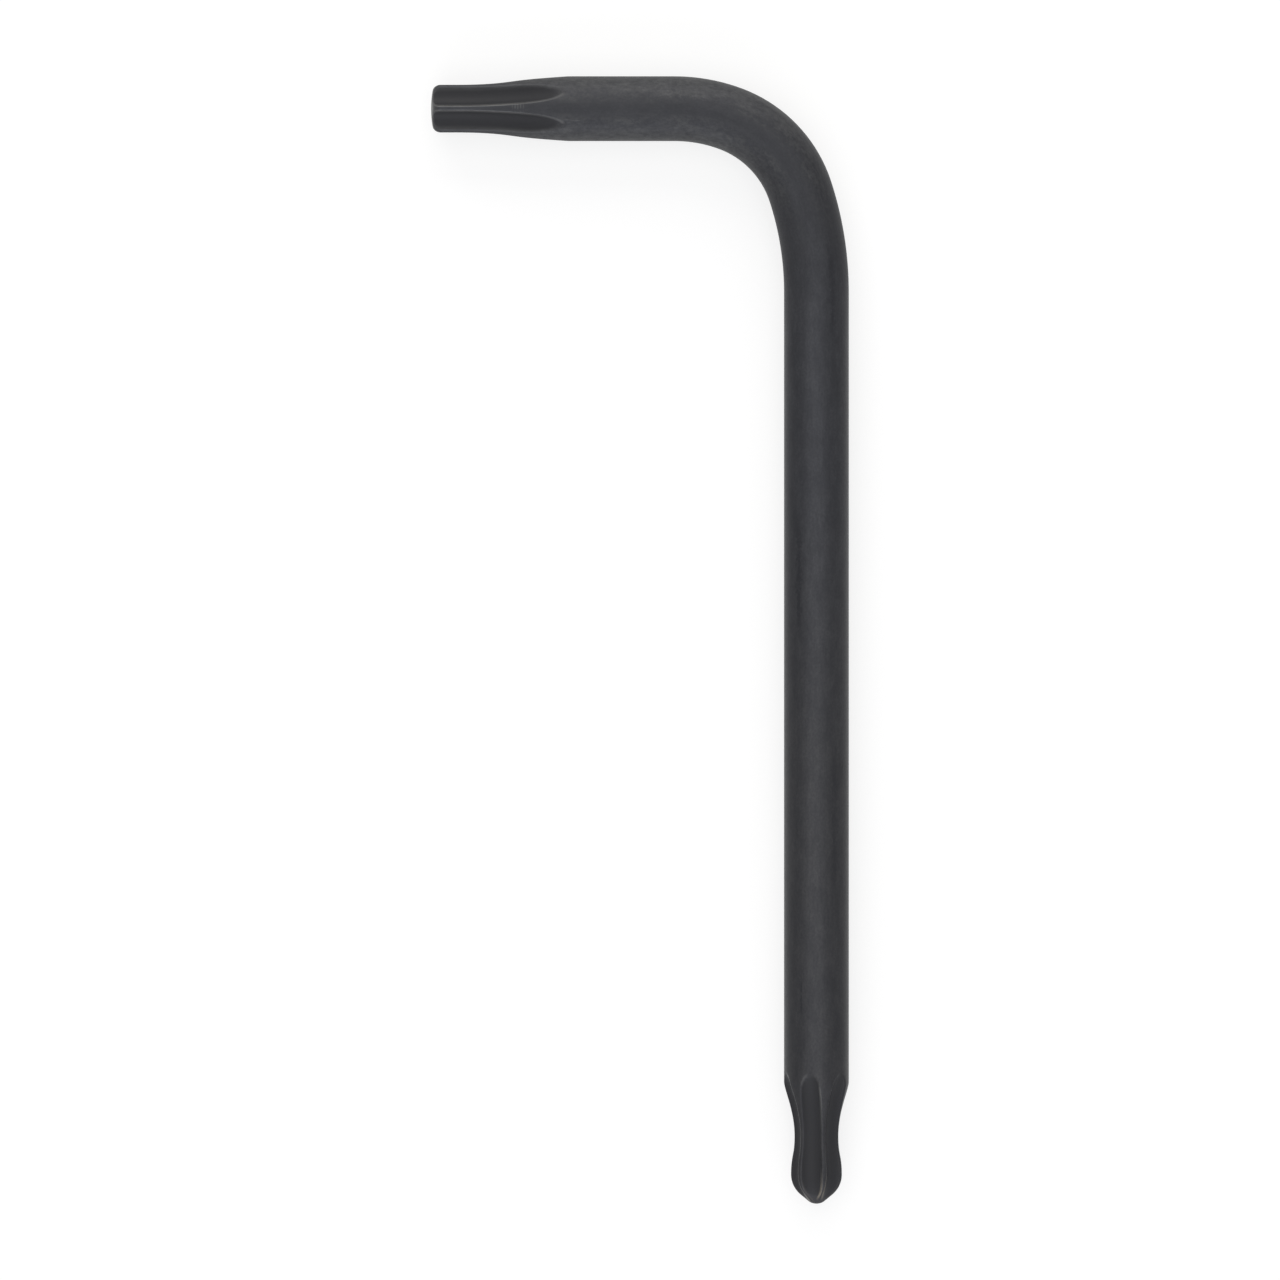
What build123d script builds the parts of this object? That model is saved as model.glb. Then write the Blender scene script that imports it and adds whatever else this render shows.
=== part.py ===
from build123d import *
from math import acos, asin, cos, degrees, radians, sin
import os

# A star-drive key: one round steel bar bent into an L, with a six-lobe star turned and fluted on each
# end. The short arm ends in a plain domed star. The long arm ends in a star cut on a ball behind a
# waist, so that it still drives when the key is held at an angle.
#
# The key lies flat on the XY plane. The long arm runs along -Y and the short arm along -X, with the bar
# resting on z = 0. The origin is the middle of the box round the key, at the surface that it lies on.
# All sizes are in millimetres and degrees.

# The bar and its two arms. Each arm is measured from its tip to the far side of the other arm.
BAR_DIAMETER = 7.0
LONG_ARM_LENGTH = 121.7
SHORT_ARM_LENGTH = 45.1

# The bend is drawn tight in its middle and opens out into both arms. These are the radii of the bar's
# axis, and the turn that each of the first two takes. The last one takes what is left.
BEND_ANGLE = 90.0
BEND_RADIUS_SHORT_SIDE = 17.4
BEND_TURN_SHORT_SIDE = 20.3
BEND_RADIUS_MIDDLE = 12.5
BEND_TURN_MIDDLE = 51.6
BEND_RADIUS_LONG_SIDE = 35.1

# The star. Both ends are cut by the same flutes.
LOBE_COUNT = 6
STAR_ACROSS_LOBES = 5.74
STAR_ACROSS_FLUTES = 3.95
LOBE_LAND_WIDTH = 0.5

# The star on the short arm: a domed end, a parallel star, then a slow swell up to the full bar.
DOME_RADIUS = 12.0
DOME_CORNER_RADIUS = 0.85
SWELL_START = 2.5
SWELL_END = 14.8
SWELL_REACH = 7.2
STRAIGHT_FLUTE_LENGTH = 2.8
FLUTING_WHEEL_RADIUS = 44.5
SHORT_STAR_TURN = 0.0

# The ball star on the long arm: a rounded point, a cone, the ball, a waist and a flare up to the bar.
BALL_DIAMETER = 5.56
NOSE_RADIUS = 1.45
CONE_HALF_ANGLE = 51.0
WAIST_DIAMETER = 4.8
WAIST_POSITION = 7.3
BALL_REACH = 2.1
FLARE_END = 13.2
FLARE_START_REACH = 2.8
FLARE_END_REACH = 0.9
WAIST_FLUTE_DIAMETER = 3.56
POINT_FLUTE_RADIUS = 4.2
FLARE_FLUTE_RADIUS = 14.3
BALL_STAR_TURN = 18.0

# How far a cutter runs on past the steel that it cuts.
CUTTER_OVERRUN = 1.0

# Worked out from the sizes above.
bar_radius = BAR_DIAMETER / 2
lobe_radius = STAR_ACROSS_LOBES / 2
core_radius = STAR_ACROSS_FLUTES / 2
waist_radius = WAIST_DIAMETER / 2
waist_floor_radius = WAIST_FLUTE_DIAMETER / 2

# A flute is part of a circle that passes through its floor and through the edges of both lands.
land_half_angle = asin(LOBE_LAND_WIDTH / 2 / lobe_radius)
edge_angle = radians(180 / LOBE_COUNT) - land_half_angle
flute_centre = (lobe_radius**2 - core_radius**2) / (2 * (lobe_radius * cos(edge_angle) - core_radius))
flute_radius = flute_centre - core_radius

# The ball's front is part of a sphere with its centre on the arm's axis. It is a little narrower than
# the plain star, which leaves it room to tilt in a recess.
ball_radius = BALL_DIAMETER / 2
cone_angle = radians(CONE_HALF_ANGLE)
ball_centre = ball_radius / sin(cone_angle) - NOSE_RADIUS * (1 / sin(cone_angle) - 1)

# The two arms' axes, with the key's box centred on the origin.
long_arm_x = SHORT_ARM_LENGTH / 2 - bar_radius
short_arm_y = LONG_ARM_LENGTH / 2 - bar_radius
short_tip_x = -SHORT_ARM_LENGTH / 2
long_tip_y = -LONG_ARM_LENGTH / 2


def lengthwise_curve(start, end, start_reach, end_reach):
    """Smooth curve between two points of a profile, leaving and arriving along the bar."""
    return Bezier(
        start,
        (start[0], start[1] + start_reach),
        (end[0], end[1] - end_reach),
        end,
    )


def turned(profile, length):
    """The solid turned by a profile, which runs from the axis out to the bar at the given length."""
    closing = Polyline((bar_radius, length), (0, length), (0, 0))
    return revolve(Plane.XZ * make_face(profile + closing), Axis.Z)


def turn_that_shifts(radius, shift):
    """The turn, in degrees, over which an arc leaves its own tangent line by the given shift."""
    return degrees(acos(1 - shift / radius))


def flute_cutters(path_edges, star_turn):
    """One round cutter between each two lobes, swept along the path of its middle."""
    path = Plane.XZ * Wire(path_edges)
    section = Plane(origin=path @ 0, z_dir=path % 0) * Circle(flute_radius)
    cutter = sweep(section, path=path)
    places = PolarLocations(0, LOBE_COUNT, start_angle=star_turn + 180 / LOBE_COUNT)
    return [place * cutter for place in places]


def short_star_blank():
    """The turned end of the short arm, with its tip at the origin and the bar running up +Z."""
    # The dome and the rounded corner touch on the line through their two centres.
    centre_gap = DOME_RADIUS - DOME_CORNER_RADIUS
    corner_centre_r = lobe_radius - DOME_CORNER_RADIUS
    corner_centre_z = DOME_RADIUS - (centre_gap**2 - corner_centre_r**2) ** 0.5
    scale = DOME_RADIUS / centre_gap
    dome_end = (corner_centre_r * scale, DOME_RADIUS - (DOME_RADIUS - corner_centre_z) * scale)

    swell_start = (lobe_radius, SWELL_START)
    dome = TangentArc((0, 0), dome_end, tangent=(1, 0))
    corner = TangentArc(dome_end, (lobe_radius, corner_centre_z), tangent=dome % 1)
    parallel = Line(corner @ 1, swell_start)
    swell = lengthwise_curve(swell_start, (bar_radius, SWELL_END), SWELL_REACH, SWELL_REACH)
    return turned(dome + corner + parallel + swell, SWELL_END)


def short_star_cutters():
    """The cutters run straight along the star, then lift out of the steel on the wheel's radius."""
    straight = Line((flute_centre, -CUTTER_OVERRUN), (flute_centre, STRAIGHT_FLUTE_LENGTH))
    lift = turn_that_shifts(FLUTING_WHEEL_RADIUS, bar_radius + CUTTER_OVERRUN - core_radius)
    run_out = JernArc(straight @ 1, (0, 1), FLUTING_WHEEL_RADIUS - flute_radius, -lift)
    return flute_cutters([straight, run_out], SHORT_STAR_TURN)


def ball_star_blank():
    """The turned end of the long arm, with its point at the origin and the bar running up +Z."""
    nose_end = (NOSE_RADIUS * cos(cone_angle), NOSE_RADIUS * (1 - sin(cone_angle)))
    ball_start = (ball_radius * cos(cone_angle), ball_centre - ball_radius * sin(cone_angle))
    ball_top = (ball_radius, ball_centre)
    waist = (waist_radius, WAIST_POSITION)
    nose = TangentArc((0, 0), nose_end, tangent=(1, 0))
    cone = Line(nose_end, ball_start)
    ball = TangentArc(ball_start, ball_top, tangent=cone % 1)
    ball_back = lengthwise_curve(ball_top, waist, BALL_REACH, BALL_REACH)
    flare = lengthwise_curve(waist, (bar_radius, FLARE_END), FLARE_START_REACH, FLARE_END_REACH)
    return turned(nose + cone + ball + ball_back + flare, FLARE_END)


def ball_star_cutters():
    """The cutters roll over the ball, dip into the waist, and climb out through the flare."""
    over_ball = (flute_centre, ball_centre)
    in_waist = (waist_floor_radius + flute_radius, WAIST_POSITION)
    point_radius = POINT_FLUTE_RADIUS + flute_radius
    point_turn = turn_that_shifts(point_radius, flute_centre + CUTTER_OVERRUN)
    ahead = (sin(radians(point_turn)), cos(radians(point_turn)))
    before_point = (-CUTTER_OVERRUN, ball_centre - point_radius * ahead[0])
    climb = turn_that_shifts(FLARE_FLUTE_RADIUS, bar_radius + CUTTER_OVERRUN - waist_floor_radius)
    point_arc = JernArc(before_point, ahead, point_radius, point_turn)
    dip = lengthwise_curve(over_ball, in_waist, BALL_REACH, BALL_REACH)
    climb_arc = JernArc(in_waist, (0, 1), FLARE_FLUTE_RADIUS - flute_radius, -climb)
    return flute_cutters([point_arc, dip, climb_arc], BALL_STAR_TURN)


def bend_step(radius, turned_before, turned_after):
    """How far an arc of the bend carries the axis onward along the short arm."""
    return radius * (sin(radians(turned_after)) - sin(radians(turned_before)))


def bent_bar():
    """The round bar between the two turned ends: straight, round the bend, and straight again."""
    second_turn = BEND_TURN_SHORT_SIDE + BEND_TURN_MIDDLE
    bend_length = (
        bend_step(BEND_RADIUS_SHORT_SIDE, 0, BEND_TURN_SHORT_SIDE)
        + bend_step(BEND_RADIUS_MIDDLE, BEND_TURN_SHORT_SIDE, second_turn)
        + bend_step(BEND_RADIUS_LONG_SIDE, second_turn, BEND_ANGLE)
    )
    short_shank = Line((short_tip_x + SWELL_END, short_arm_y), (long_arm_x - bend_length, short_arm_y))
    first = JernArc(short_shank @ 1, (1, 0), BEND_RADIUS_SHORT_SIDE, -BEND_TURN_SHORT_SIDE)
    middle = JernArc(first @ 1, first % 1, BEND_RADIUS_MIDDLE, -BEND_TURN_MIDDLE)
    last = JernArc(middle @ 1, middle % 1, BEND_RADIUS_LONG_SIDE, second_turn - BEND_ANGLE)
    long_shank = Line(last @ 1, (long_arm_x, long_tip_y + FLARE_END))
    path = Plane.XY.offset(bar_radius) * Wire([short_shank, first, middle, last, long_shank])
    section = Plane(origin=path @ 0, z_dir=path % 0) * Circle(bar_radius)
    return sweep(section, path=path)


def star_drive_key():
    """The bent bar with its two turned ends, and then the flutes. At no turn a lobe faces up."""
    short_end = Plane(origin=(short_tip_x, short_arm_y, bar_radius), x_dir=(0, 0, 1), z_dir=(1, 0, 0))
    long_end = Plane(origin=(long_arm_x, long_tip_y, bar_radius), x_dir=(0, 0, 1), z_dir=(0, 1, 0))
    blank = bent_bar() + short_end * short_star_blank() + long_end * ball_star_blank()
    short_cutters = [short_end * cutter for cutter in short_star_cutters()]
    ball_cutters = [long_end * cutter for cutter in ball_star_cutters()]
    return blank - (short_cutters + ball_cutters)


os.makedirs("parts", exist_ok=True)
export_step(star_drive_key(), "parts/star_drive_key.step")
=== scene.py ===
# %% [markdown]
# A star-drive key, from bar to blackened tool
#
# The key is one steel bar, bent into an L, with a six-lobe star on each end. In the workshop it is
# made in five steps: the ends are turned on a lathe, the flutes are cut, the bar is bent, the steel
# is hardened, and it is dipped in a bath that turns its surface black. This lesson follows the same
# steps in Blender, all but the hardening, because each of the others shows on the finished tool.

import math

import bpy
import numpy as np
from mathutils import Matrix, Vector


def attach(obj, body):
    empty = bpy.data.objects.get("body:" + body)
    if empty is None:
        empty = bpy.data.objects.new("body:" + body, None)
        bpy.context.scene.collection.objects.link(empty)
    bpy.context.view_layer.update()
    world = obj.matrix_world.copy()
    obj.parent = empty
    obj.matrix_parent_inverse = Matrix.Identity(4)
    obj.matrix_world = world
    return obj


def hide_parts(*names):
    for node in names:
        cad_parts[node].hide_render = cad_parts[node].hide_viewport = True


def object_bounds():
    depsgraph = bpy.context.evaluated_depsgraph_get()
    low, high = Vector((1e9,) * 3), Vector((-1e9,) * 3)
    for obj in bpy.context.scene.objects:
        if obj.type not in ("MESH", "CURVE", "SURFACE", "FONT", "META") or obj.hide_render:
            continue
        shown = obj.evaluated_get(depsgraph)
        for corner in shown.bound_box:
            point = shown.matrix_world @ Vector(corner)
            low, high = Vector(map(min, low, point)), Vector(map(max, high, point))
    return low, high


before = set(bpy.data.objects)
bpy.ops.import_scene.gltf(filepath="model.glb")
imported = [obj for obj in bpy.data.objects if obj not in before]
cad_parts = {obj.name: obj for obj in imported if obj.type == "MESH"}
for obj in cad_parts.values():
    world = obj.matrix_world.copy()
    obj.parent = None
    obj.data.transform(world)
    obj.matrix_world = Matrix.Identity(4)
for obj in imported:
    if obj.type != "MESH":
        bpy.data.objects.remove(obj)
cad_low, cad_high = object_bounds()
print("key box in mm:", [round(1000 * side, 2) for side in cad_high - cad_low])

# %% [markdown]
# The sizes
#
# Blender works in metres, and tools are drawn in millimetres, so every size is written as a number
# times MM. The bar lies along X while it is worked, with the short arm's tip at 0, and it is bent
# at the end. "Along" is a distance from a tip, and "out" is a distance from the middle of the bar.

# %% Sizes of the bar and of its two stars
MM = 0.001
BAR_RADIUS = 3.5 * MM
LONG_ARM = (cad_high - cad_low).y
SHORT_ARM = (cad_high - cad_low).x
LOBES = 6
LOBE_RADIUS = 2.87 * MM
CORE_RADIUS = 1.975 * MM
LAND_WIDTH = 0.5 * MM
HALF_PITCH = math.pi / LOBES

# A flute is an arc through its floor and through the edges of the two lands beside it.
edge_angle = HALF_PITCH - math.asin(LAND_WIDTH / 2 / LOBE_RADIUS)
edge_level = LOBE_RADIUS * math.cos(edge_angle)
flute_centre = (LOBE_RADIUS**2 - CORE_RADIUS**2) / (2 * (edge_level - CORE_RADIUS))
flute_radius = flute_centre - CORE_RADIUS
print(f"flute wheel {flute_radius / MM:.3f} mm, its middle {flute_centre / MM:.3f} mm out")

# %% [markdown]
# Lines for the lathe
#
# A turned end is known by its profile: how far out the steel reaches at each distance along. The
# profiles are built from short pieces, each an arc, a straight line or a smooth curve that leaves
# and arrives along the bar. Each piece is a list of (along, out) points. The last number in each
# call is how many steps the piece has, and that is large where the profile turns or where flutes
# will be cut.

# %% Helpers that draw pieces of a profile
def line(start, end, steps):
    share = np.linspace(0, 1, steps + 1)[:, None]
    return np.array(start) * (1 - share) + np.array(end) * share


def arc(centre, radius, start, end, steps):
    """Arc about a point (along, out), between two angles measured from the way out."""
    angle = np.linspace(start, end, steps + 1)
    return np.column_stack([centre[0] + radius * np.sin(angle), centre[1] + radius * np.cos(angle)])


def lengthwise(start, end, start_reach, end_reach, steps):
    """Bezier curve that leaves and arrives along the bar."""
    t = np.linspace(0, 1, steps + 1)[:, None]
    a, d = np.array(start), np.array(end)
    b, c = a + (start_reach, 0), d - (end_reach, 0)
    return a * (1 - t) ** 3 + 3 * b * t * (1 - t) ** 2 + 3 * c * t**2 * (1 - t) + d * t**3


def joined(*pieces):
    """One profile from pieces that meet end to end."""
    return np.vstack([pieces[0]] + [piece[1:] for piece in pieces[1:]])


# %% [markdown]
# The short arm's end
#
# This end is a plain star. Its face is a shallow dome with a rounded corner, so that it finds the
# recess of a screw by itself. Behind the parallel part the steel swells slowly up to the full bar.

# %% Profile of the plain end
DOME_RADIUS = 12.0 * MM
DOME_CORNER = 0.85 * MM
SWELL_START = 2.5 * MM
SWELL_END = 14.8 * MM
SWELL_REACH = 7.2 * MM
END_LENGTH = 18.0 * MM


def plain_profile():
    corner_out = LOBE_RADIUS - DOME_CORNER
    meeting = math.asin(corner_out / (DOME_RADIUS - DOME_CORNER))
    corner_along = DOME_RADIUS - (DOME_RADIUS - DOME_CORNER) * math.cos(meeting)
    dome = arc((DOME_RADIUS, 0), DOME_RADIUS, -math.pi / 2, meeting - math.pi / 2, 14)
    corner = arc((corner_along, corner_out), DOME_CORNER, meeting - math.pi / 2, 0, 18)
    parallel = line(corner[-1], (SWELL_START, LOBE_RADIUS), 5)
    swell = lengthwise(parallel[-1], (SWELL_END, BAR_RADIUS), SWELL_REACH, SWELL_REACH, 66)
    shank = line(swell[-1], (END_LENGTH, BAR_RADIUS), 8)
    return joined(dome, corner, parallel, swell, shank)


plain_end = plain_profile()
print(f"plain end: {len(plain_end)} rings over {plain_end[-1, 0] / MM:.1f} mm")

# %% [markdown]
# The long arm's end
#
# This end has the same star on a ball, with a waist behind it. The waist lets the key tilt in the
# screw while the ball still drives it. The ball's front is part of a sphere, a little narrower than
# the plain star so that it has room to tilt, and a cone with a small nose leads it into the recess.

# %% Profile of the ball end
BALL_RADIUS = 2.78 * MM
NOSE_RADIUS = 1.45 * MM
CONE_ANGLE = math.radians(51)
WAIST_RADIUS = 2.4 * MM
WAIST_ALONG = 7.3 * MM
BALL_REACH = 2.1 * MM
FLARE_END = 13.2 * MM
FLARE_REACHES = (2.8 * MM, 0.9 * MM)
ball_along = BALL_RADIUS / math.sin(CONE_ANGLE) - NOSE_RADIUS * (1 / math.sin(CONE_ANGLE) - 1)


def ball_profile():
    nose = arc((NOSE_RADIUS, 0), NOSE_RADIUS, -math.pi / 2, -CONE_ANGLE, 12)
    ball = arc((ball_along, 0), BALL_RADIUS, -CONE_ANGLE, 0, 20)
    cone = line(nose[-1], ball[0], 14)
    back = lengthwise(ball[-1], (WAIST_ALONG, WAIST_RADIUS), BALL_REACH, BALL_REACH, 22)
    flare = lengthwise(back[-1], (FLARE_END, BAR_RADIUS), *FLARE_REACHES, 38)
    shank = line(flare[-1], (END_LENGTH, BAR_RADIUS), 16)
    return joined(nose, cone, ball, back, flare, shank)


ball_end = ball_profile()
print(f"ball end: {len(ball_end)} rings over {ball_end[-1, 0] / MM:.1f} mm")

# %% [markdown]
# The bend, measured before it is made
#
# A bar bent round a former isn't one clean arc: it is tightest in the middle and opens out into
# both arms. Three arcs that meet without a corner give that line. Each turns the bar a little
# further to the right, and the last one takes what is left of the right angle. The same arcs tell
# how long the straight bar has to be.

# %% The line that the bar will follow
BENDS = (
    (17.4 * MM, math.radians(20.3)),
    (12.5 * MM, math.radians(51.6)),
    (35.1 * MM, math.radians(18.1)),
)


def bend_line():
    """Where the arcs of the bar's middle line meet: each place, and the line's direction there."""
    points, place, heading = [], np.zeros(2), 0.0
    for radius, turn in BENDS:
        points.append((place, heading))
        centre = place + radius * np.array([math.sin(heading), -math.cos(heading)])
        heading_after = heading - turn
        place = centre + radius * np.array([-math.sin(heading_after), math.cos(heading_after)])
        heading = heading_after
    points.append((place, heading))
    return points


corners = bend_line()
bend_across, bend_down = corners[-1][0] * (1, -1)
SHORT_STRAIGHT = SHORT_ARM - BAR_RADIUS - bend_across
LONG_STRAIGHT = LONG_ARM - BAR_RADIUS - bend_down
BEND_LENGTH = sum(radius * turn for radius, turn in BENDS)
BAR_LENGTH = SHORT_STRAIGHT + BEND_LENGTH + LONG_STRAIGHT
print(f"straight bar {BAR_LENGTH / MM:.2f} mm, of which the bend takes {BEND_LENGTH / MM:.2f} mm")

# %% [markdown]
# Turning the bar
#
# Both ends and the plain bar between them are one profile, so the whole key is turned in one go, as
# on a lathe. The profile is laid along the bar as a line of points and spun round the bar's axis.
# The rings stand close together where flutes will be cut and where the bar will bend, and far apart
# on the straight shank, where nothing changes.

# %% Spin the profile round the axis
COLUMNS = 240
WELD_DISTANCE = 0.0005 * MM


def whole_profile():
    bend_start = SHORT_STRAIGHT
    bend_end = bend_start + BEND_LENGTH
    far = ball_end[::-1] * (-1, 1) + (BAR_LENGTH, 0)
    to_bend = line(plain_end[-1], (bend_start, BAR_RADIUS), 4)
    through_bend = line(to_bend[-1], (bend_end, BAR_RADIUS), 46)
    shank = line(through_bend[-1], far[0], 18)
    return joined(plain_end, to_bend, through_bend, shank, far)


def turned_bar():
    bpy.ops.object.select_all(action="DESELECT")
    profile = whole_profile()
    mesh = bpy.data.meshes.new("blackened_key")
    points = [(along, 0, out) for along, out in profile]
    mesh.from_pydata(points, [(i, i + 1) for i in range(len(points) - 1)], [])
    bar = bpy.data.objects.new("blackened_key", mesh)
    bpy.context.collection.objects.link(bar)
    bpy.context.view_layer.objects.active = bar
    bar.select_set(True)
    bpy.ops.object.mode_set(mode="EDIT")
    bpy.ops.mesh.select_all(action="SELECT")
    bpy.ops.mesh.spin(steps=COLUMNS, angle=2 * math.pi, center=(0, 0, 0), axis=(1, 0, 0))
    bpy.ops.mesh.select_all(action="SELECT")
    bpy.ops.mesh.remove_doubles(threshold=WELD_DISTANCE)
    bpy.ops.mesh.normals_make_consistent(inside=False)
    bpy.ops.object.mode_set(mode="OBJECT")
    return bar


key = turned_bar()
print(f"turned bar: {len(key.data.vertices)} points, {len(key.data.polygons)} faces")

# %% [markdown]
# The paths of the fluting wheels
#
# A flute is what a round-edged wheel leaves behind as it travels past the bar. At the plain end the
# wheel runs straight along the star and then lifts out on a wide arc, which draws the long pointed
# tongues. At the ball end it rolls over the ball, dips into the waist and climbs out through the
# flare, so that every flute ends in a round arch. Only the path of the wheel's middle is needed, as
# how far out it is at each distance along. Each arc turns on, by an angle in radians, until the
# wheel is clear of the steel.

# %% Path of the wheel along the plain end
WHEEL_START = -1.0 * MM
LIFT_START = 2.8 * MM
LIFT_RADIUS = 44.5 * MM
LIFT_TURN = 0.5


def plain_wheel():
    straight = line((WHEEL_START, flute_centre), (LIFT_START, flute_centre), 60)
    radius = LIFT_RADIUS - flute_radius
    lift = arc((LIFT_START, flute_centre + radius), -radius, 0, -LIFT_TURN, 240)
    return joined(straight, lift)


plain_path = plain_wheel()
print(f"at the plain end the wheel leaves {plain_path[-1, 1] / MM:.1f} mm out")

# %% Path of the wheel along the ball end
POINT_RADIUS = 4.2 * MM
POINT_TURN = 0.78
WAIST_FLOOR = 1.78 * MM
CLIMB_RADIUS = 14.3 * MM
CLIMB_TURN = 1.0


def ball_wheel():
    radius = POINT_RADIUS + flute_radius
    over_point = arc((ball_along, flute_centre - radius), radius, -POINT_TURN, 0, 160)
    in_waist = (WAIST_ALONG, WAIST_FLOOR + flute_radius)
    dip = lengthwise(over_point[-1], in_waist, BALL_REACH, BALL_REACH, 120)
    radius = CLIMB_RADIUS - flute_radius
    climb = arc((in_waist[0], in_waist[1] + radius), -radius, 0, -CLIMB_TURN, 240)
    return joined(over_point, dip, climb)


ball_path = ball_wheel()
print(f"at the ball end the wheel leaves {ball_path[-1, 1] / MM:.1f} mm out")

# %% [markdown]
# Cutting the flutes
#
# A Boolean would cut these flutes too, but it leaves ragged slivers along the cut, and no even edge
# can be rounded on those. Here the mesh itself is worked instead, and every ring keeps its place
# along the bar. First the points of a ring are turned about the axis, until a narrow band of them
# follows the edge of each flute. Then each point that stands in the way of a wheel is pushed in
# towards the axis, until it rests on the wheel. Along the edge a point feels both surfaces at once,
# and that leaves the small even round that tumbling gives to the real edge.
#
# The sum that says how deep a point is in the wheel can't be turned round to give the place where
# it is zero. That place is found as a maker finds a fit, by trying the middle of the gap that is
# left, again and again.

# %% Helpers that measure the steel against a wheel
EDGE_ROUND = 0.14 * MM


def inside_wheel(along, out, off_middle, path, rounds=5):
    """How deep a point is inside the wheel. off_middle is its angle from the flute's middle."""
    level, side = out * np.cos(off_middle), out * np.sin(off_middle)
    slope = np.gradient(path[:, 1], path[:, 0])
    nearest = along
    for _ in range(rounds):
        rise = level - np.interp(nearest, path[:, 0], path[:, 1])
        nearest = along + rise * np.interp(nearest, path[:, 0], slope)
    rise = level - np.interp(nearest, path[:, 0], path[:, 1])
    return flute_radius - np.sqrt((along - nearest) ** 2 + rise**2 + side**2)


def both_cuts(past_turning, past_wheel):
    """Above zero where either the lathe or the wheel takes the steel, with a round between them."""
    from_turning = np.maximum(EDGE_ROUND + past_turning, 0)
    from_wheel = np.maximum(EDGE_ROUND + past_wheel, 0)
    sharp = np.maximum(past_turning, past_wheel)
    return np.minimum(-EDGE_ROUND, sharp) + np.hypot(from_turning, from_wheel)


def halved(low, high, removed, rounds=26):
    """Where removed(x) passes zero, between low and high, by halving the gap again and again."""
    for _ in range(rounds):
        middle = (low + high) / 2
        gone = removed(middle) > 0
        low, high = np.where(gone, low, middle), np.where(gone, middle, high)
    return low


# %% [markdown]
# Where the points of a ring go
#
# Before a star is cut, the points of each ring stand at even angles. Of each half pitch, from the
# middle of a flute to the middle of a lobe, the first part is spread over the flute's floor, the
# next part is drawn together in a band round the flute's edge, and the rest is spread over the
# land.

# %% The flute's edge on each ring, and the columns that follow it
EDGE_BAND = (0.4, 0.7)
BAND_INSIDE = 0.6
BAND_LIMIT = 0.97
NARROWEST = math.radians(4)
NEAR_AXIS = CORE_RADIUS / 3


def edge_of_flute(profile, path):
    """For each ring, the angle from the flute's middle to its edge."""
    along, out = profile.T
    in_steel = lambda angle: -inside_wheel(along, out, angle, path)
    cut_here = inside_wheel(along, out, 0.0, path) > 0
    return np.where(cut_here, halved(0 * along, 0 * along + HALF_PITCH, in_steel), 0)


def column_angle(share, edge, out):
    """Angle from the flute's middle of a column that stood at this share of the half pitch."""
    band = EDGE_ROUND / np.maximum(out, NEAR_AXIS)
    edge = np.maximum(edge, NARROWEST)
    inner, outer = edge - BAND_INSIDE * band, np.minimum(edge + band, BAND_LIMIT * HALF_PITCH)
    spread = share / EDGE_BAND[0]
    on_floor = inner * spread * (3 - spread**2) / 2
    on_edge = inner + (outer - inner) * (share - EDGE_BAND[0]) / (EDGE_BAND[1] - EDGE_BAND[0])
    on_land = outer + (HALF_PITCH - outer) * (share - EDGE_BAND[1]) / (1 - EDGE_BAND[1])
    return np.select([share < EDGE_BAND[0], share < EDGE_BAND[1]], [on_floor, on_edge], on_land)


# %% [markdown]
# Pressing one star into the bar
#
# Behind the last flute the points go back to even angles, little by little, so that the rings of
# the star pass into the rings of the bar. A flute's edge carries a narrow bright line, partly worn
# steel and partly painted highlight. The line keeps one true width, so that it doesn't swell where
# the edge runs round the end of a flute.

# %% Press one star into the bar
PAST_FLUTES = 0.1 * MM
BRIGHT_LINE_SOFT = 0.08 * MM


def ring_places(points, star_turn):
    """Each point's distances along and out, its flute's number, and its angle off that middle."""
    along, out = points[:, 0], np.hypot(points[:, 1], points[:, 2])
    clock = np.arctan2(points[:, 1], points[:, 2]) - star_turn - HALF_PITCH
    number = np.round(clock / (2 * HALF_PITCH))
    return along, out, number, clock - number * 2 * HALF_PITCH


def off_middle_after(off_middle, along, out, edge, flute_end):
    """The angle that each point is turned to, so that a band of points follows the flute's edge."""
    share = np.clip(np.abs(off_middle) / HALF_PITCH, 0, 1)
    start = flute_end + PAST_FLUTES
    relaxed = np.clip((along - start) / (END_LENGTH - start), 0, 1)
    relaxed = relaxed**2 * (3 - 2 * relaxed)
    moved = column_angle(share, edge, out) * (1 - relaxed) + share * HALF_PITCH * relaxed
    return np.sign(off_middle) * moved


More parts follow.
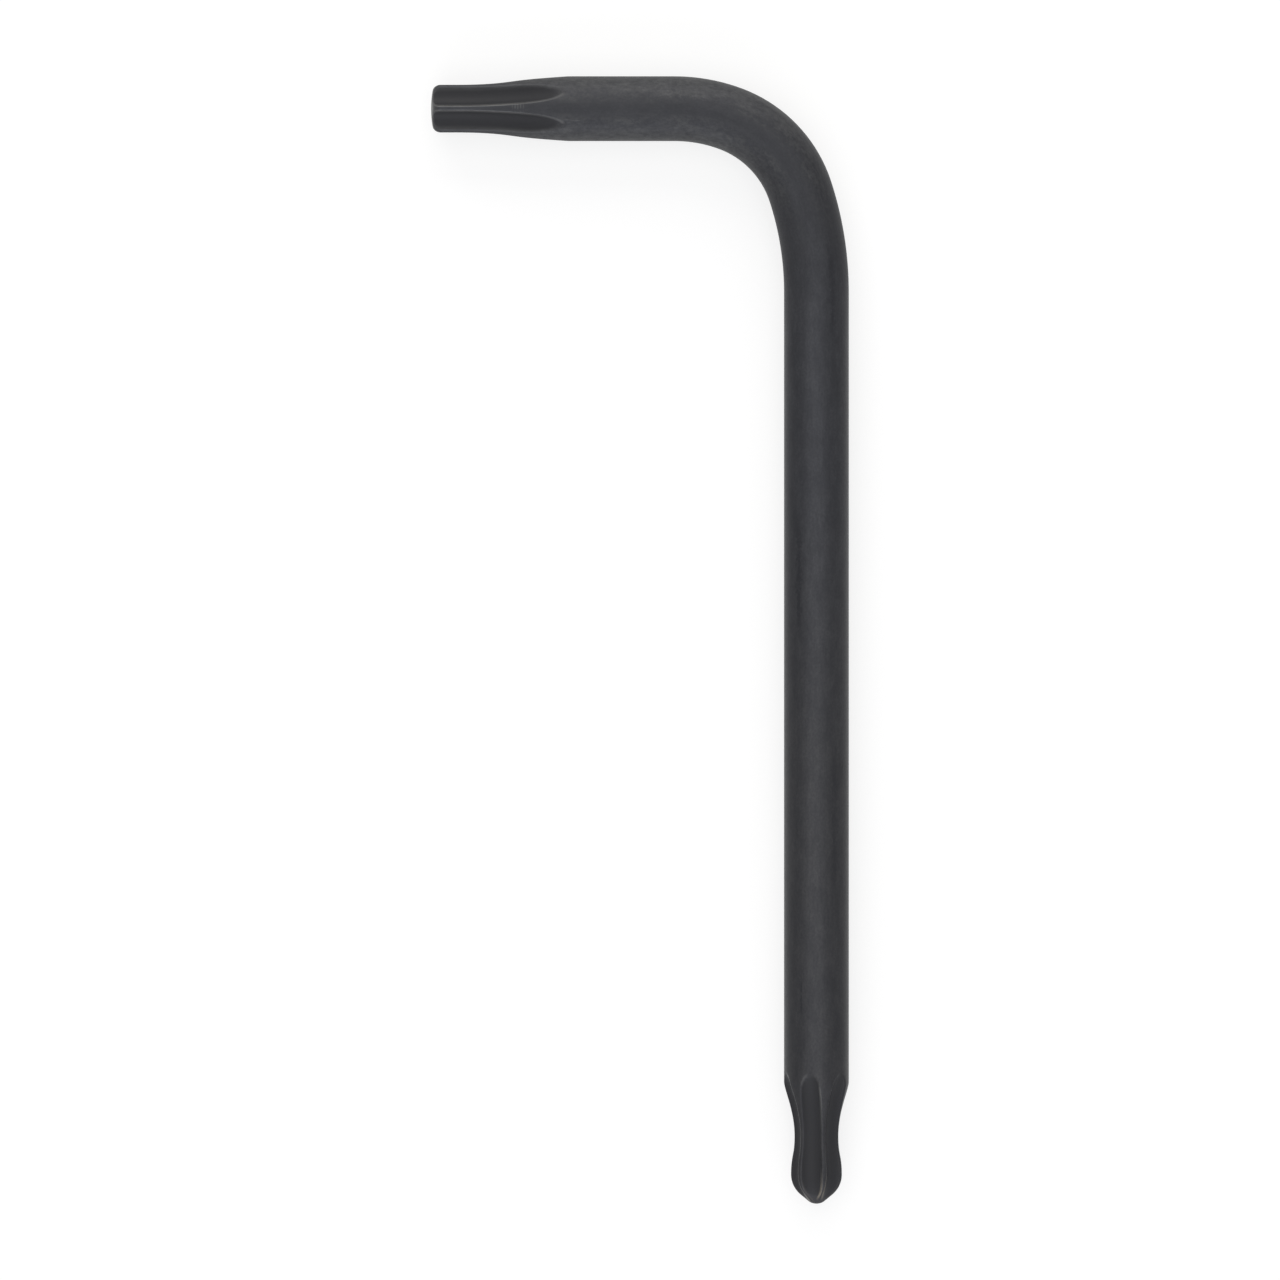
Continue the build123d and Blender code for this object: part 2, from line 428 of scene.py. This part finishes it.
def cut_star(points, profile, path, star_turn, bright_line_width):
    """Presses a star into the points (along, y, z) of one end.

    For each point it returns how far down a flute it is, how fully it is on a bright line of worn
    steel and painted highlight, its flute's number, and its side of that flute.
    """
    along, out, number, off_middle = ring_places(points, star_turn)
    edges = edge_of_flute(profile, path)
    edge = np.interp(along, profile[:, 0], edges)
    flute_end = profile[edges > 0, 0].max()
    off_middle = off_middle_after(off_middle, along, out, edge, flute_end)

    run, rise = np.gradient(profile[:, 0]), np.gradient(profile[:, 1])
    facing_out = np.interp(along, profile[:, 0], run / np.hypot(run, rise))
    past_turning = lambda where: (where - out) * facing_out
    past_wheel = lambda where: inside_wheel(along, where, off_middle, path)
    left = halved(0 * out, out, lambda where: both_cuts(past_turning(where), past_wheel(where)))
    clock = number * 2 * HALF_PITCH + off_middle + star_turn + HALF_PITCH
    points[:, 1], points[:, 2] = left * np.sin(clock), left * np.cos(clock)
    fluted = np.clip(-past_turning(left) / (2 * EDGE_ROUND), 0, 1)

    lean = np.interp(along, profile[:, 0], np.gradient(edges * profile[:, 1], profile[:, 0]))
    off_edge = (np.abs(off_middle) - edge) * out / np.hypot(1, lean)
    past_line = np.abs(off_edge + bright_line_width / 4) - bright_line_width / 2
    on_line = np.clip(1 - past_line / BRIGHT_LINE_SOFT, 0, 1) * (along < flute_end + PAST_FLUTES)
    return fluted, on_line, number, np.sign(off_middle)


# %% [markdown]
# How worn and bright each edge is
#
# No two edges look alike. Each has a bright line of bare steel, partly wear and partly painted
# highlight. On the plain star the two edges beside the top land are made brightest, as painted
# highlight. The ball and the flare touch other steel, and the waist between them hardly does. Each
# edge is known by its flute's number and by its side of that flute, and has a few points: a
# distance along in millimetres, and the share of bright bare steel there. Below zero the edge gets
# no bright line and is painted darker instead. The face of the plain end is worn all over, and that
# fades out on its rounded corner.

# %% How worn and bright each edge is
# The two edges beside the plain star's top land are made brightest, as painted highlight.
PLAIN_WEAR_AND_GLINT = {
    (0, -1): ((0, 0.8), (8, 0.85), (11, 0.7), (13, 0.45), (15, 0.3)),
    (-1, 1): ((0, 0.75), (8, 0.75), (11, 0.45), (13, 0.4), (15, 0.4)),
}
PLAIN_REST_WEAR_AND_GLINT = ((0, 0.25), (9, 0.2), (15, 0))
BALL_WEAR_AND_GLINT = {
    (-2, 1): (
        (0, 1.4), (2.5, 1.6), (4, 1), (5.5, 0.3),
        (8, 0.2), (9.2, 0.7), (11, 1.4), (13, 1.5),
    ),
    (-1, 1): (
        (0.4, 0), (0.8, 0.9), (2, 0.9), (3, 0.4), (4, 0),
        (8, 0.05), (10.5, 0.6), (12.2, 0.8), (13, 0.1),
    ),
    (-1, -1): ((0, 0.2), (3, 0), (8, -0.2), (11, -0.7), (12.4, -0.1), (12.9, 0.15), (14, 0.25)),
    (0, -1): ((0.4, 0), (0.8, 0.9), (2, 0.9), (3.5, 0.4), (5, 0.1), (7, -0.4), (13, -0.6)),
}
BALL_REST_WEAR_AND_GLINT = ((0, 0.2), (3, 0), (8, -0.2), (11, -0.5), (13, -0.2))
FACE_WEAR = ((0.25, 0.6), (0.8, 0))


def graph(along, points):
    """Reads a line of (distance in mm, value) points at every distance along."""
    places, values = np.array(points).T
    return np.interp(along, places * MM, values)


def wear_and_glint(along, number, side, edges, rest):
    """Share of bright bare steel, partly wear and partly painted highlight. Other edges follow the
    rest.
    """
    share = graph(along, rest)
    for (flute, flute_side), points in edges.items():
        here = (number == flute) & (side == flute_side)
        share[here] = graph(along[here], points)
    return share


# %% [markdown]
# Both stars, and what the mesh keeps of them
#
# The two stars don't line up on a real key. The plain star has a lobe straight on top, and the ball
# star is turned a little further round. The ball end is worked the other way round, with its own
# tip at 0, and put back afterwards.
#
# The mesh keeps three things for the steel's finish, each as an attribute of its points: how far
# the point is down a flute, how much its edge is worn and painted bright, and where it was on the
# straight bar.

# %% Cut both stars
PLAIN_STAR_TURN = 0.0
BALL_STAR_TURN = math.radians(18)
PLAIN_LINE = 0.18 * MM
BALL_LINE = 0.1 * MM


def cut_both_stars(bar):
    mesh = bar.data
    points = np.zeros(len(mesh.vertices) * 3)
    mesh.vertices.foreach_get("co", points)
    points = points.reshape(-1, 3)
    fluted, worn_and_glinting = np.zeros(len(points)), np.zeros(len(points))

    plain = points[:, 0] < END_LENGTH
    work = points[plain]
    down, on_line, *edge = cut_star(work, plain_end, plain_path, PLAIN_STAR_TURN, PLAIN_LINE)
    fluted[plain] = down
    on_face = graph(work[:, 0], FACE_WEAR) * (1 - down)
    worn_and_glinting[plain] = np.maximum(on_line * wear_and_glint(work[:, 0], *edge, PLAIN_WEAR_AND_GLINT, PLAIN_REST_WEAR_AND_GLINT), on_face)
    points[plain] = work

    ball = points[:, 0] > BAR_LENGTH - END_LENGTH
    work = points[ball] * (-1, 1, 1) + (BAR_LENGTH, 0, 0)
    fluted[ball], on_line, *edge = cut_star(work, ball_end, ball_path, BALL_STAR_TURN, BALL_LINE)
    worn_and_glinting[ball] = on_line * wear_and_glint(work[:, 0], *edge, BALL_WEAR_AND_GLINT, BALL_REST_WEAR_AND_GLINT)
    points[ball] = (work - (BAR_LENGTH, 0, 0)) * (-1, 1, 1)

    mesh.vertices.foreach_set("co", points.ravel())
    for name, values in (("fluted", fluted), ("edge_wear_and_glint", worn_and_glinting)):
        mesh.attributes.new(name, "FLOAT", "POINT").data.foreach_set("value", values)
    straight = mesh.attributes.new("straight_bar", "FLOAT_VECTOR", "POINT")
    straight.data.foreach_set("vector", points.ravel())
    mesh.update()
    print(f"points in the flutes: {(fluted > 0.5).sum()}, on worn edges: {(worn_and_glinting > 0.5).sum()}")


cut_both_stars(key)

# %% [markdown]
# Bending the bar
#
# The Curve modifier does what the bending press does: it lays the straight bar along a line. The
# line is a Bezier curve with a point wherever the bend's arc changes. Its handles lie along the
# bar, and the handles of an arc have the length that makes a Bezier curve run round it.

# %% The line, as a Bezier curve
LINE_STEPS = 96


def arc_handle(radius, turn):
    return 4 / 3 * math.tan(turn / 4) * radius


def bar_line():
    shift = np.array([cad_low.x + SHORT_STRAIGHT, cad_high.y - BAR_RADIUS])
    places = [(-SHORT_STRAIGHT, 0)] + [place for place, _ in corners]
    places.append(corners[-1][0] - (0, LONG_STRAIGHT))
    headings = [0] + [heading for _, heading in corners] + [corners[-1][1]]
    reaches = [SHORT_STRAIGHT / 3] + [arc_handle(*bend) for bend in BENDS] + [LONG_STRAIGHT / 3]
    curve = bpy.data.curves.new("bar_line", "CURVE")
    curve.dimensions = "3D"
    curve.twist_mode = "Z_UP"
    curve.resolution_u = LINE_STEPS
    spline = curve.splines.new("BEZIER")
    spline.bezier_points.add(len(places) - 1)
    for i, point in enumerate(spline.bezier_points):
        place = np.append(np.array(places[i]) + shift, BAR_RADIUS)
        ahead = np.array([math.cos(headings[i]), math.sin(headings[i]), 0])
        point.handle_left_type = point.handle_right_type = "FREE"
        point.co = place
        point.handle_left = place - ahead * reaches[max(i - 1, 0)]
        point.handle_right = place + ahead * reaches[min(i, len(reaches) - 1)]
    line_object = bpy.data.objects.new("bar_line", curve)
    bpy.context.collection.objects.link(line_object)
    return line_object


# %% Bend the bar with a Curve modifier
def bend(bar):
    guide = bar_line()
    modifier = bar.modifiers.new("bend", "CURVE")
    modifier.object = guide
    modifier.deform_axis = "POS_X"
    bpy.context.view_layer.objects.active = bar
    bpy.ops.object.modifier_apply(modifier="bend")
    bpy.data.objects.remove(guide)


bend(key)
bpy.ops.object.shade_smooth()
print("bent key in mm:", [round(1000 * side, 2) for side in key.dimensions])

# %% [markdown]
# The black finish
#
# The black on a key is a skin of iron oxide, a thousandth of a millimetre thick, with a little oil
# in it. It hides nothing of the steel below. So the material starts as a dark satin metal, and the
# marks are laid over it one after the other: the drawing of the bar, then what the press, hands and
# holders did to the short arm, with painted highlight and shade there, and last the flutes with
# their worn edges, whose bright lines are partly painted highlight.
#
# All patterns read where a point was on the straight bar. They then run along the steel and follow
# it round the bend, as they do on the real key. Every pattern is a noise or a sum, so none needs a
# picture. A bench, here, is a place to build one material or world: it adds nodes and joins them
# up.

# %% A bench for building a material
def start_material(name):
    material = bpy.data.materials.new(name)
    material.use_nodes = True
    material.node_tree.nodes.clear()
    return material


class Bench:
    """Adds nodes to one material or world and joins them up."""

    def __init__(self, owner):
        self.tree = owner.node_tree

    def add(self, kind, inputs=None, **settings):
        node = self.tree.nodes.new(kind)
        for name, value in settings.items():
            setattr(node, name, value)
        for socket, value in (inputs or {}).items():
            self.give(node.inputs[socket], value)
        return node

    def give(self, socket, value):
        """Joins a socket to another node's output, or sets it to a plain value."""
        if isinstance(value, bpy.types.NodeSocket):
            self.tree.links.new(value, socket)
        else:
            socket.default_value = value

    def attribute(self, name, output="Fac"):
        return self.add("ShaderNodeAttribute", attribute_name=name).outputs[output]

    def math(self, operation, a, b=0.0):
        return self.add("ShaderNodeMath", {0: a, 1: b}, operation=operation).outputs[0]

    def product(self, *values):
        result = values[0]
        for value in values[1:]:
            result = self.math("MULTIPLY", result, value)
        return result

    def noise(self, place, size, stretch=(1, 1, 1), detail=3.0, roughness=0.5):
        """Noise with lumps of about this size in metres, longer along an axis by its stretch."""
        scale = [1 / (size * longer) for longer in stretch]
        scaled = self.add("ShaderNodeMapping", {"Vector": place, "Scale": scale}).outputs[0]
        look = {"Vector": scaled, "Scale": 1.0, "Detail": detail, "Roughness": roughness}
        return self.add("ShaderNodeTexNoise", look).outputs["Fac"]

    def between(self, value, low, high, out_low=0.0, out_high=1.0):
        """Stretches a value from low..high to out_low..out_high, and holds it there."""
        limits = {"From Min": low, "From Max": high, "To Min": out_low, "To Max": out_high}
        return self.add("ShaderNodeMapRange", {"Value": value, **limits}).outputs[0]

    def mixed(self, share, first, second):
        """The first colour where the share is 0, and the second where it is 1."""
        node = self.add("ShaderNodeMix", data_type="RGBA")
        for socket, value in zip((0, 6, 7), (share, first, second)):
            self.give(node.inputs[socket], value)
        return node.outputs[2]


# %% What every layer of the finish reads
class SteelBench(Bench):
    def __init__(self, material):
        super().__init__(material)
        self.place = self.attribute("straight_bar", "Vector")
        self.along, self.across, _ = self.add("ShaderNodeSeparateXYZ", {0: self.place}).outputs
        self.off_top = self.math("ABSOLUTE", self.across)
        self.blotches = self.noise(self.place, 1.6 * MM, (2, 1, 1), 6, 0.75)
        self.streaks = self.noise(self.place, 0.3 * MM, (10, 1, 1), 4, 0.6)
        self.specks = self.noise(self.place, 0.3 * MM, (1.5, 1, 1), 5, 0.7)
        self.rubbed = self.noise(self.place, 0.8 * MM, (3, 1, 1), 5, 0.65)
        self.ragged = self.between(self.specks, 0.3, 0.7, -0.5, 1.0)


# %% [markdown]
# The drawn bar
#
# The bar was pulled through a die before it was cut to length. Wide clouds come from the blackening
# bath, and everything else runs along the bar: blotches, streaks and a fine grain. Here and there
# the die left a long dark seam. Towards the ball the oxide is a shade warmer. The seams, and the
# scratches and chatter that come later, each have a place of their own, so tables list them.

# %% Oxide on the drawn bar
OXIDE = (0.0490, 0.0500, 0.0550, 1)
OXIDE_WARM = (0.0503, 0.0503, 0.0530, 1)
# Dark oxide, also used as painted shade on the short arm's top band.
DEEP_OXIDE_AND_SHADE = (0.0268, 0.0274, 0.0311, 1)
WARMER = (75 * MM, 105 * MM)


def drawn_oxide(steel):
    clouds = steel.noise(steel.place, 9 * MM, (2.5, 1, 1), 4)
    grain = steel.noise(steel.place, 0.22 * MM, (1.3, 1, 1), 2, 0.5)
    colour = steel.mixed(steel.between(steel.along, *WARMER), OXIDE, OXIDE_WARM)
    for pattern, low, high, strength in (
        (clouds, 0.3, 0.7, 0.2),
        (steel.blotches, 0.38, 0.62, 0.48),
        (steel.streaks, 0.4, 0.8, 0.3),
        (grain, 0.35, 0.65, 0.3),
    ):
        colour = steel.mixed(steel.between(pattern, low, high, 0.0, strength), colour, DEEP_OXIDE_AND_SHADE)
    return colour


# %% Seams, scratches and chatter that one key happens to have
# A row gives a mark's distance along, half length, distance across and half width, all in mm. Then
# comes its lean, which is how far it shifts across for each step along, and last its strength.
SEAMS = (
    (85.5, 7.0, -1.9, 0.5, 0.0, 0.75),
    (54.5, 6.0, 1.7, 0.4, 0.01, 0.6),
    (131.0, 2.2, -1.65, 0.16, 0.0, 0.7),
    (112.0, 9.0, 1.9, 0.5, 0.0, 0.4),
    (42.0, 6.0, 2.3, 0.7, 0.0, 0.4),
)
SCRATCHES = (
    (15.2, 1.5, -1.27, 0.11, -0.07, 0.55),
    (26.8, 3.5, 1.6, 0.55, -0.03, 0.5),
)
CHATTER = ((9.4, 0.9, 0.25, 0.8, 0.0, 0.6),)


def marks(steel, table):
    """One mask for a table of marks, each a long thin patch with ragged sides."""
    mask = 0.0
    for middle, half_length, offset, half_width, lean, strength in table:
        run = steel.math("SUBTRACT", steel.along, middle * MM)
        line_here = steel.math("ADD", steel.product(run, lean), offset * MM)
        aside = steel.math("ABSOLUTE", steel.math("SUBTRACT", steel.across, line_here))
        aside = steel.math("ADD", aside, steel.product(steel.ragged, half_width * MM))
        beside = steel.between(aside, half_width * MM, 0.3 * half_width * MM)
        ends = steel.between(steel.math("ABSOLUTE", run), half_length * MM, 0.5 * half_length * MM)
        mask = steel.math("MAXIMUM", mask, steel.product(beside, ends, strength))
    return mask


# %% [markdown]
# The short arm
#
# The press held the key by its short arm while it bent the bar, and that is where a hand and a
# holder rub it too. Its sides are painted paler, partly as rubbed steel and partly as painted
# highlight where the side boxes light them. A narrow band along the top and along the bottom is
# painted darker, as painted shade. Between them lie patchy scuffs, and a fine mottle covers it all.
# Round the bend the rubbing dies away. On the middle lobe of the plain star the turning tool
# chattered, and left a few short lines across the bar.

# %% Rubbing, painted highlight and shade, scuffs and chatter on the short arm
# Paler oxide for the short arm's sides, partly rubbed steel and partly painted highlight.
RUBBED_AND_LIT_OXIDE = (0.0825, 0.0835, 0.0860, 1)
SCUFFED = (0.0870, 0.0880, 0.0890, 1)
CHATTER_PITCH = 0.3 * MM

# Where each mask leaves its first value, and where it reaches its last one.
RUBBED_AND_LIT_REACH = (46 * MM, 34 * MM)
RUBBED_AND_LIT_SIDES = (1.7 * MM, 3.1 * MM)
# Painted shade: a band along the top and bottom of the short arm is darkened.
SHADED_TOP_BAND = (0.7 * MM, 0.1 * MM)
BESIDE_BAND = (0.4 * MM, 1.2 * MM)
MOTTLED_SIDES = (0.7 * MM, 2.2 * MM)


def rub_light_and_shade_short_arm(steel, colour, short_arm):
    """Paler sides, partly rubbed and partly painted highlight, a painted shade band on top, and
    scuffs.
    """
    # Painted highlight mixed with rubbing: the sides are made paler where the side boxes light
    # them.
    sides = steel.between(steel.off_top, *RUBBED_AND_LIT_SIDES, 0.12, 1.0)
    sides_rubbed_and_lit = steel.product(short_arm, sides, steel.between(steel.along, *RUBBED_AND_LIT_REACH, 0.2, 1.0))
    rubbed_and_lit = steel.product(sides_rubbed_and_lit, steel.between(steel.rubbed, 0.3, 0.7, 0.5, 1.1))
    colour = steel.mixed(rubbed_and_lit, colour, RUBBED_AND_LIT_OXIDE)
    # Painted shade: darken the band along the top and bottom of the short arm.
    painted_shade_on_top = steel.product(short_arm, steel.between(steel.off_top, *SHADED_TOP_BAND, 0.0, 0.15))
    colour = steel.mixed(painted_shade_on_top, colour, DEEP_OXIDE_AND_SHADE)

    off_band = steel.between(steel.off_top, *BESIDE_BAND, 0.1, 1.0)
    patchy = steel.math("ADD", steel.product(steel.blotches, 0.6), steel.product(steel.specks, 0.4))
    scuffs = steel.product(short_arm, off_band, steel.between(patchy, 0.46, 0.62, 0.0, 0.55))
    return steel.mixed(steel.math("MAXIMUM", scuffs, marks(steel, SCRATCHES)), colour, SCUFFED)


def mottle_and_chatter(steel, colour, short_arm):
    lumps = steel.noise(steel.place, 0.6 * MM, (1.3, 1, 1), 3, 0.85)
    sides = steel.between(steel.off_top, *MOTTLED_SIDES, 0.4, 1.0)
    mottle = steel.product(short_arm, steel.between(lumps, 0.35, 0.65, 0.0, 0.5), sides)
    colour = steel.mixed(mottle, colour, DEEP_OXIDE_AND_SHADE)
    wave = steel.math("SINE", steel.product(steel.along, 2 * math.pi / CHATTER_PITCH))
    chatter = steel.product(steel.between(wave, -0.2, 0.8), marks(steel, CHATTER))
    return steel.mixed(chatter, colour, SCUFFED)


# %% [markdown]
# The stars
#
# A flute was cut by a wheel, not drawn, so it has none of the bar's marks. Its oxide is dark, even
# and nearly matt. The edges beside it carry bright lines of bare steel, partly worn and partly
# painted highlight, and some are painted darker. Near the ball's point the bright steel has a
# brownish tint.

# %% Flutes and their edges
FLUTE_OXIDE = (0.0313, 0.0316, 0.0346, 1)
BARE_AND_GLINTING_EDGE = (0.118, 0.118, 0.118, 1)
BARE_AND_GLINTING_POINT = (0.130, 0.116, 0.098, 1)
BROWNISH = (149.5 * MM, 151.5 * MM)


def star_colours(steel, colour, fluted):
    edge_wear_and_glint = steel.attribute("edge_wear_and_glint")
    colour = steel.mixed(fluted, colour, FLUTE_OXIDE)
    # Where the share is below zero, the edge is painted darker.
    colour = steel.mixed(steel.between(edge_wear_and_glint, 0.0, -1.0), colour, DEEP_OXIDE_AND_SHADE)
    # Bright lines along the edges: bare steel, partly worn and partly painted highlight.
    worn_and_glinting = steel.product(edge_wear_and_glint, steel.between(steel.rubbed, 0.4, 0.6, 0.65, 1.0))
    bare = steel.mixed(steel.between(steel.along, *BROWNISH), BARE_AND_GLINTING_EDGE, BARE_AND_GLINTING_POINT)
    return steel.mixed(steel.between(worn_and_glinting, 0.0, 1.0), colour, bare)


# %% [markdown]
# Gloss
#
# The bar is a satin metal. The press left the short arm and the bend a little duller. In the flutes
# the oxide is thick and dry, and takes most of the metal's shine away. The specks and streaks also
# stand up by about a hundredth of a millimetre, as a bump, which breaks the reflections up.

# %% The whole material
BUMP_HEIGHT = 0.02 * MM
BUMP_STRENGTH = 0.6
PRESSED_DULLER = 0.12
SHINE_LOST = 0.9
FLUTE_IOR = 1.2

# Where each mask leaves its first value, and where it reaches its last one.
BEHIND_TIP = (3 * MM, 11 * MM)
BEFORE_BEND = (52 * MM, 40 * MM)
PRESSED = (60 * MM, 50 * MM)


def satin_metal(steel, colour, fluted, from_tip):
    pressed = steel.between(steel.along, *PRESSED, 0.0, PRESSED_DULLER)
    pressed = steel.product(from_tip, pressed)
    rough = steel.math("ADD", steel.between(steel.specks, 0.3, 0.7, 0.42, 0.5), pressed)
    metal = steel.math("SUBTRACT", 1.0, steel.product(fluted, SHINE_LOST))
    height = steel.math("ADD", steel.product(steel.specks, 0.5), steel.product(steel.streaks, 0.5))
    relief = {"Strength": BUMP_STRENGTH, "Distance": BUMP_HEIGHT, "Height": height}
    look = {
        "Base Color": colour,
        "Metallic": metal,
        "Roughness": rough,
        "IOR": FLUTE_IOR,
        "Normal": steel.add("ShaderNodeBump", relief).outputs[0],
    }
    surface = steel.add("ShaderNodeBsdfPrincipled", look)
    steel.add("ShaderNodeOutputMaterial", {"Surface": surface.outputs[0]})


def black_oxide():
    material = start_material("black_oxide")
    steel = SteelBench(material)
    fluted = steel.attribute("fluted")
    from_tip = steel.between(steel.along, *BEHIND_TIP)
    short_arm = steel.product(from_tip, steel.between(steel.along, *BEFORE_BEND))
    colour = steel.mixed(marks(steel, SEAMS), drawn_oxide(steel), DEEP_OXIDE_AND_SHADE)
    colour = rub_light_and_shade_short_arm(steel, colour, short_arm)
    colour = mottle_and_chatter(steel, colour, short_arm)
    colour = star_colours(steel, colour, fluted)
    satin_metal(steel, colour, fluted, from_tip)
    return material


# %% Finish the key and tell the frame about it
key.data.materials.append(black_oxide())
print("nodes in the finish:", len(key.data.materials[0].node_tree.nodes))
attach(key, "root")
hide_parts("star_drive_key")

# %% [markdown]
# The table and the light
#
# Dark satin metal is seen by what it reflects, so the light matters as much as the material. The
# key lies on a white table. A soft box stands beyond the short arm, low down, and a weaker one
# faces it. They light the two sides of the short arm. A large one hangs overhead, and its
# reflection is the paler band along the middle of the long arm, whose sides face no box and stay
# darker.
#
# The camera sees the table and the room as plain white, and so does anything that mirrors them,
# such as the key. Scattered light meets a pale grey table and a dimmer room instead. So the
# background is white, and the table still carries the key's soft shadow.

# %% White table
TABLE_SIDE = 6.0
TABLE_PAINT = (0.8, 0.8, 0.8, 1)
TABLE_SHADE = (0.3, 0.3, 0.3, 1)
TABLE_GLOW = 0.74
WHITE = (1, 1, 1, 1)


def seen_directly(bench):
    """One for a ray from the camera, a mirror or glass, and zero for any other."""
    ray = bench.add("ShaderNodeLightPath").outputs
    mirrored = bench.math("MAXIMUM", ray["Is Glossy Ray"], ray["Is Transmission Ray"])
    return bench.math("MAXIMUM", ray["Is Camera Ray"], mirrored)


def white_table():
    bpy.ops.object.select_all(action="DESELECT")
    bpy.ops.mesh.primitive_plane_add(size=TABLE_SIDE, location=(0, 0, 0))
    table = bpy.context.active_object
    table.name = "table"
    material = start_material("white_table")
    bench = Bench(material)
    paint = bench.add("ShaderNodeBsdfDiffuse", {"Color": TABLE_PAINT})
    shade = bench.add("ShaderNodeBsdfDiffuse", {"Color": TABLE_SHADE})
    glow = bench.add("ShaderNodeEmission", {"Color": WHITE, "Strength": TABLE_GLOW})
    lit = bench.add("ShaderNodeAddShader", {0: shade.outputs[0], 1: glow.outputs[0]})
    choice = {0: seen_directly(bench), 1: paint.outputs[0], 2: lit.outputs[0]}
    both = bench.add("ShaderNodeMixShader", choice)
    bench.add("ShaderNodeOutputMaterial", {"Surface": both.outputs[0]})
    table.data.materials.append(material)
    print(f"table: {TABLE_SIDE:.0f} m square")


white_table()


# %% Soft boxes
SIDE_BOX = (1.0, 0.64)
TOP_BOX = (1.2, 1.2)


def soft_box(name, place, size, power, colour=(1, 1, 1)):
    light = bpy.data.lights.new(name, "AREA")
    light.shape = "RECTANGLE"
    light.size, light.size_y = size
    light.energy = power
    light.color = colour
    box = bpy.data.objects.new(name, light)
    box.location = place
    box.rotation_mode = "QUATERNION"
    box.rotation_quaternion = box.location.to_track_quat("Z", "Y")
    box.visible_camera = False
    bpy.context.collection.objects.link(box)
    print(f"{name}: {power} W at {box.location.length:.2f} m")


soft_box("far_box", (0, 0.75, 0.32), SIDE_BOX, 4.4, (1.0, 0.97, 0.93))
soft_box("near_box", (0, -0.75, 0.32), SIDE_BOX, 3.35, (0.94, 0.95, 1.0))
soft_box("top_box", (-0.08, 0, 1.0), TOP_BOX, 3.75)

# %% The room
ROOM_STRENGTH = 0.4


def white_room():
    world = bpy.data.worlds.new("studio")
    bpy.context.scene.world = world
    world.use_nodes = True
    world.node_tree.nodes.clear()
    bench = Bench(world)
    room = bench.add("ShaderNodeBackground", {"Color": WHITE, "Strength": ROOM_STRENGTH})
    white = bench.add("ShaderNodeBackground", {"Color": WHITE, "Strength": 1.0})
    choice = {0: seen_directly(bench), 1: room.outputs[0], 2: white.outputs[0]}
    both = bench.add("ShaderNodeMixShader", choice)
    bench.add("ShaderNodeOutputWorld", {"Surface": both.outputs[0]})


white_room()

# %% [markdown]
# The camera
#
# The key is seen from straight above, with a very long lens from far away, so that both arms keep
# their true width and nothing leans. The picture is a little wider than the key is long.

# %% Camera straight above
PICTURE_SIDE = 138.16 * MM
LENS = 1000.0
SENSOR = 36.0
camera_data = bpy.data.cameras.new("camera")
camera_data.lens = LENS
camera_data.sensor_width = SENSOR
camera_data.clip_end = 20.0
camera = bpy.data.objects.new("camera", camera_data)
camera.location = (0, 0, BAR_RADIUS + PICTURE_SIDE * LENS / SENSOR)
bpy.context.collection.objects.link(camera)
bpy.context.scene.camera = camera
bpy.context.scene.view_settings.view_transform = "Standard"
print(f"camera: {camera.location.z:.2f} m above the table")
